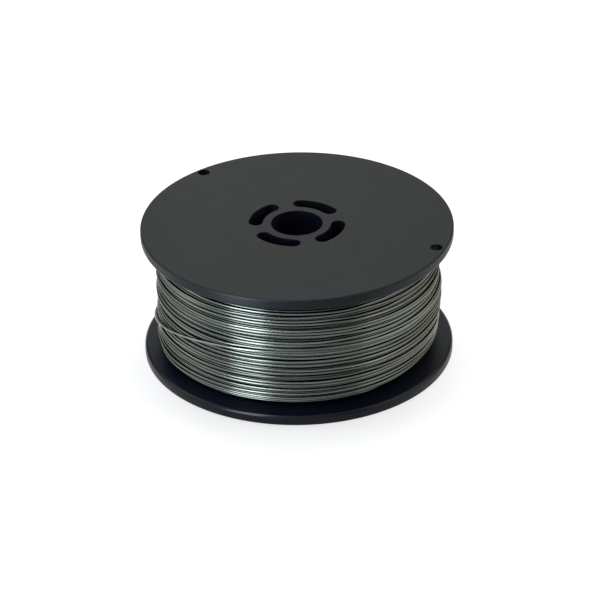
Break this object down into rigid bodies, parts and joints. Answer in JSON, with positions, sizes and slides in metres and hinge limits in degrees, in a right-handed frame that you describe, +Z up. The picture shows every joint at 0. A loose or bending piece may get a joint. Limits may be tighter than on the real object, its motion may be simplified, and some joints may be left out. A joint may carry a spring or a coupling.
{
  "type": "spool of flux-cored welding wire",
  "caption": "Plastic wire spool with wide round flanges, a spindle bore and arc slots, wound full with flux-cored welding wire.",
  "frame": {"origin": "middle of the lower flange's outer face, on the axis of the spindle bore", "axes": "+Z up along the spindle bore; the spool stands on its lower flange, and the wire anchor holes are in the upper one"},
  "size_m": [0.1, 0.1, 0.045],
  "materials": {
    "spool_plastic": "black moulded plastic, satin, with a fine grain",
    "steel_wire": "drawn steel wire, bright crowns with dark grooves between the turns"
  },
  "bodies": {
    "root": {"spool": "spool_plastic", "wire_winding": "steel_wire"}
  },
  "joints": []
}
